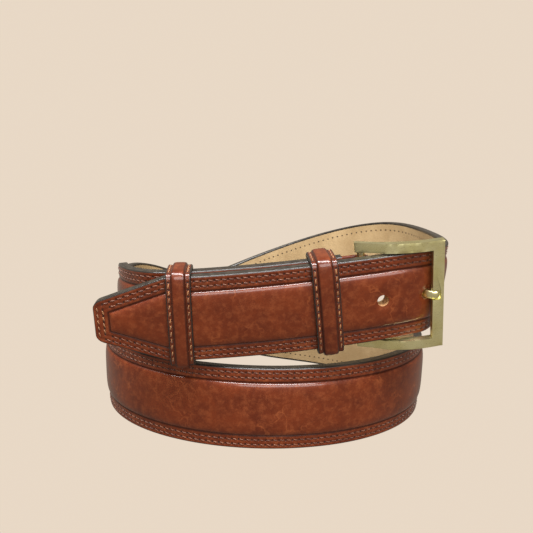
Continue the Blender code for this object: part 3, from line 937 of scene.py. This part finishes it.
def keeper_profile(wide):
    """(position along the strap, height) round a keeper's band, from its inner face outwards."""
    half, crease = wide / 2, 0.30 * wide
    over = []
    for c in np.linspace(-half, half, 41):
        inset = half - abs(c)
        h = KEEPER_T
        if abs(c) < crease:
            h += KEEPER_PAD * math.sqrt(1.0 - (c / crease)**4)
        h -= 0.16 * math.exp(-((abs(c) - crease - 0.1) / 0.3)**2)
        h -= 0.10 * math.exp(-((inset - KEEPER_ROW) / 0.35)**2)
        r = 0.45
        if inset < r:
            h -= r - math.sqrt(r * r - (r - inset)**2)
        over.append((c, h))
    return over[::-1] + [(-half, 0.0), (-half * 0.5, 0.0), (0.0, 0.0), (half * 0.5, 0.0), (half, 0.0)]


def build_keeper(name, x, wide, inside, body):
    p, t, w, n = front_frame(x)
    line = soften(keeper_line(inside))
    profile = keeper_profile(wide)
    count = len(line)
    middle = line.mean(axis=0)
    step = np.linalg.norm(np.roll(line, -1, axis=0) - line, axis=1)
    run = np.concatenate([[0.0], np.cumsum(step)])

    def normal(i):
        d = line[(i + 1) % count] - line[i - 1]
        m = np.array([d[1], -d[0]]) / np.linalg.norm(d)
        return m if np.dot(m, line[i % count] - middle) > 0 else -m

    rings, uv = [], []
    for i in range(count):
        m = normal(i)
        rings.append([p + c * t + (line[i][0] + m[0] * e) * w + (line[i][1] + m[1] * e) * n
                      for c, e in profile])
        uv += [(run[i], wide / 2 - abs(c) if e > 0.3 else 0.5) for c, e in profile]
    verts, faces = loft(rings, closed=True)
    size = len(profile)
    slots = []
    for face in faces:
        places = [profile[k % size] for k in face]
        side = all(abs(c) > wide / 2 - 0.12 for c, _ in places)
        under = all(e < 0.01 for _, e in places)
        slots.append(1 if side else (2 if under else 0))
    keeper = add_object(f"{name}_leather", verts, faces, [CALF_KEEPER, EDGE, LINING], slots, uv, 50)
    outward(keeper)
    show(keeper, body, "cognac_calf", name)

    total = run[-1]
    count_stitches = int(total / STITCH_PITCH)
    gap = STITCH_PITCH - STITCH_LENGTH

    def on_band(s, c):
        s %= total
        i = int(np.searchsorted(run, s, side="right") - 1) % count
        f = (s - run[i]) / max(step[i], 1e-9)
        q = line[i] * (1 - f) + line[(i + 1) % count] * f
        m = normal(i) * (1 - f) + normal(i + 1 if i + 1 < count else 0) * f
        m /= np.linalg.norm(m)
        up = m[0] * w + m[1] * n
        return p + c * t + q[0] * w + q[1] * n + (KEEPER_T - 0.08) * up, up

    for side_name, sign in (("left", -1), ("right", 1)):
        c = sign * (wide / 2 - KEEPER_ROW)
        parts = []
        for i in range(count_stitches):
            s0 = total * i / count_stitches + gap / 2
            a, up = on_band(s0, c)
            b, _ = on_band(s0 + STITCH_LENGTH, c)
            parts.append(stitch([a, b], up, t, -0.3 + RANDOM.normal(0, 0.05)))
        obj = add_object(f"{name}_stitches_{side_name}", *join(parts), [GOLD_THREAD])
        outward(obj)
        show(obj, body, "golden_thread", f"{name}_thread_{side_name}")


def build_keepers():
    build_keeper("fixed_keeper", FIXED_X, FIXED_W, LINING_IN - STRAND_PITCH - 0.35 - 1.6, "strap")
    build_keeper("free_keeper", FREE_X, FREE_W, LINING_IN - STRAND_PITCH, "free_keeper")
    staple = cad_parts["free_keeper_staple"]
    staple.data.materials.clear()
    staple.data.materials.append(BRASS)


# ------------------------------------------------------------ studio


def build_camera():
    """The photographer's place: a little above the belt, looking slightly down at its front."""
    pitch, heading, roll = (math.radians(v) for v in (CAMERA_PITCH, CAMERA_HEADING, CAMERA_ROLL))
    look = Vector((math.sin(heading) * math.cos(pitch), math.cos(heading) * math.cos(pitch),
                   -math.sin(pitch)))
    right = look.cross(Vector((0, 0, 1))).normalized()
    up = right.cross(look)
    right, up = (right * math.cos(roll) + up * math.sin(roll),
                 up * math.cos(roll) - right * math.sin(roll))
    camera = bpy.data.objects.new("camera", bpy.data.cameras.new("camera"))
    camera.data.sensor_width = 36.0
    camera.data.lens = 36.0 * FOCAL_PER_WIDTH
    camera.data.clip_start = 0.01
    turn = Matrix((right, up, -look)).transposed().to_4x4()
    camera.matrix_world = Matrix.Translation(Vector(CAMERA_AT * MM)) @ turn
    bpy.context.scene.collection.objects.link(camera)
    bpy.context.scene.camera = camera


def area_light(name, at, to, size, power):
    """A rectangular light, in metres and watts, turned towards a point."""
    data = bpy.data.lights.new(name, "AREA")
    data.shape = "RECTANGLE"
    data.size, data.size_y = size
    data.energy = power
    light = bpy.data.objects.new(name, data)
    light.location = at
    light.rotation_euler = (Vector(to) - Vector(at)).to_track_quat("-Z", "Y").to_euler()
    bpy.context.scene.collection.objects.link(light)


BACKGROUND = (0.810, 0.689, 0.563)
BACKDROP_FILL = 0.36        # strength of the backdrop as a light on the belt


def backdrop_strength(tree, socket):
    """The backdrop at full strength to the camera, and dimmer as a light on the belt."""
    path = tree.nodes.new("ShaderNodeLightPath")
    strength = tree.nodes.new("ShaderNodeMapRange")
    strength.inputs["To Min"].default_value = BACKDROP_FILL
    strength.inputs["To Max"].default_value = 1.0
    tree.links.new(path.outputs["Is Camera Ray"], strength.inputs["Value"])
    tree.links.new(strength.outputs["Result"], socket)


def build_studio():
    """A pale sweep under and behind the belt, and soft lights above and beside it."""
    world = bpy.data.worlds.new("studio")
    bpy.context.scene.world = world
    world.use_nodes = True
    world.node_tree.nodes["Background"].inputs["Color"].default_value = (*BACKGROUND, 1.0)
    backdrop_strength(world.node_tree, world.node_tree.nodes["Background"].inputs["Strength"])
    sweep = bpy.data.materials.new("sweep_paper")
    sweep.use_nodes = True
    shader = sweep.node_tree.nodes["Principled BSDF"]
    shader.inputs["Base Color"].default_value = (0.0, 0.0, 0.0, 1.0)
    shader.inputs["Roughness"].default_value = 1.0
    shader.inputs["Specular IOR Level"].default_value = 0.0
    shader.inputs["Emission Color"].default_value = (*BACKGROUND, 1.0)
    backdrop_strength(sweep.node_tree, shader.inputs["Emission Strength"])
    reach = 4000.0
    floor = add_object("floor", [np.array([x, y, 0.0]) - SHIFT for x, y in
                                 ((-reach, -reach), (reach, -reach), (reach, reach), (-reach, reach))],
                       [(0, 1, 2, 3)], [sweep])
    area_light("top_soft", (-0.10, -0.25, 0.75), (0.0, -0.02, 0.05), (0.9, 0.14), 17.0)
    area_light("front_soft", (0.15, -0.9, 0.45), (0.0, 0.0, 0.05), (0.8, 0.5), 9.0)
    view = bpy.context.scene.view_settings
    view.view_transform = "Standard"
    view.look = "None"


build_strap()
build_stitches()
build_buckle()
build_chape()
build_keepers()
build_camera()
build_studio()
